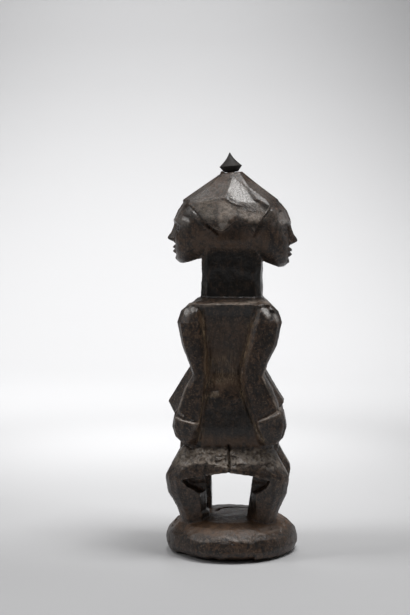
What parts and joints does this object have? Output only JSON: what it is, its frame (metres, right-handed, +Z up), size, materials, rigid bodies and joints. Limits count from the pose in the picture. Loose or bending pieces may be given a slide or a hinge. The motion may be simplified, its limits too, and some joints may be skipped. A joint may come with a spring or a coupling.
{
  "type": "janus figure",
  "caption": "Carved dark wood janus figure, its halves back to back on a round foot, with a loose stopper in the crown.",
  "frame": {"origin": "middle of the overall bounding box in X and Y, at the underside of the foot", "axes": "+Z up along the figure, the faces look along -X and +X, and the side that the camera sees faces -Y"},
  "size_m": [0.093, 0.093, 0.28],
  "materials": {
    "figure": "dark brown-black patinated hardwood with a worn satin gloss on the proud edges and dust in the hollows",
    "stopper": "black satin wood"
  },
  "bodies": {
    "root": {"figure": "figure", "stopper": "stopper"}
  },
  "joints": []
}
